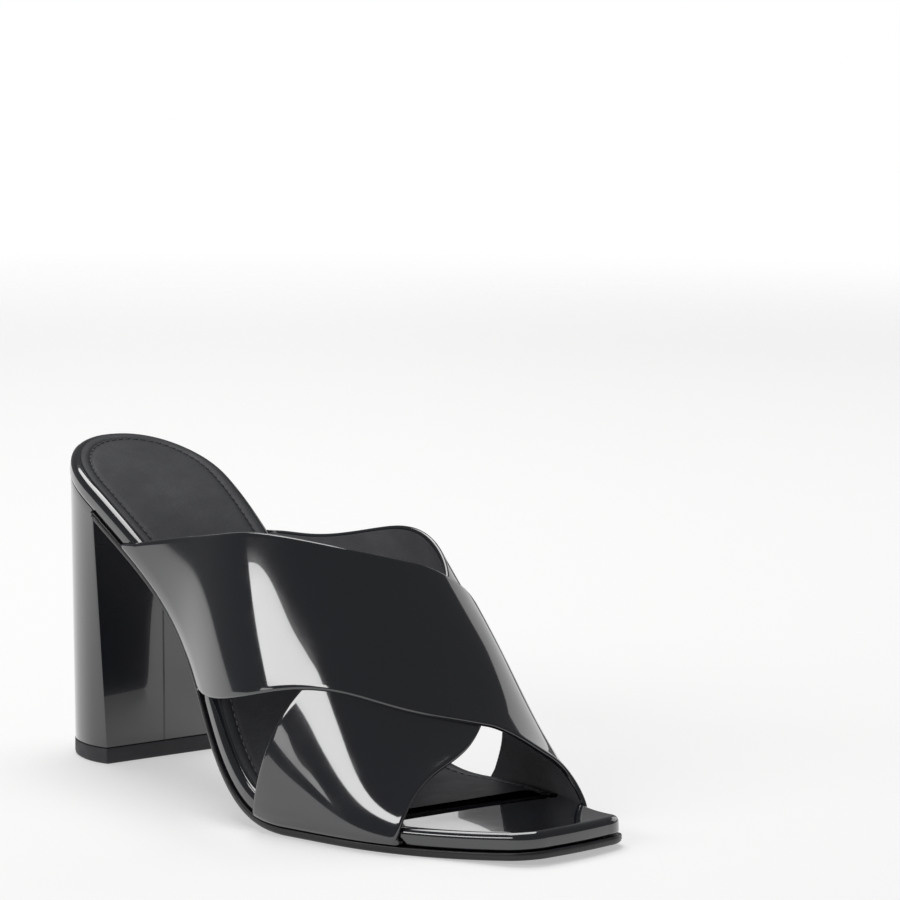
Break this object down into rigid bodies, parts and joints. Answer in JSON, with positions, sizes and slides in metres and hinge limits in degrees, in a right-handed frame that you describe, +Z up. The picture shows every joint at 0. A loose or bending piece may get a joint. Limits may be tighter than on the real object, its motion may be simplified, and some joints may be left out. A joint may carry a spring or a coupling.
{
  "type": "patent leather sandal",
  "caption": "Black patent high-heeled mule sandal: two crossed straps over an open toe, wrapped footbed with a leather sock, thin outsole and a wide D-shaped block heel. Right foot.",
  "frame": {"origin": "middle of the bounding box on the floor under the standing shoe", "axes": "+Z up, the long axis from heel to toe on Y with the toe to -Y, the outer (lateral) side of this right shoe to -X"},
  "size_m": [0.084, 0.2218, 0.103],
  "materials": {
    "patent_leather": "black patent, mirror gloss",
    "sock_leather": "smooth dark grey leather, matt",
    "outsole_leather": "black sole leather, satin",
    "heel_rubber": "dark rubber, matt"
  },
  "bodies": {
    "root": {"outsole": "outsole_leather", "footbed": "patent_leather", "insole_sock": "sock_leather", "upper_straps": "patent_leather", "heel": "patent_leather", "heel_top_piece": "heel_rubber"}
  },
  "joints": []
}
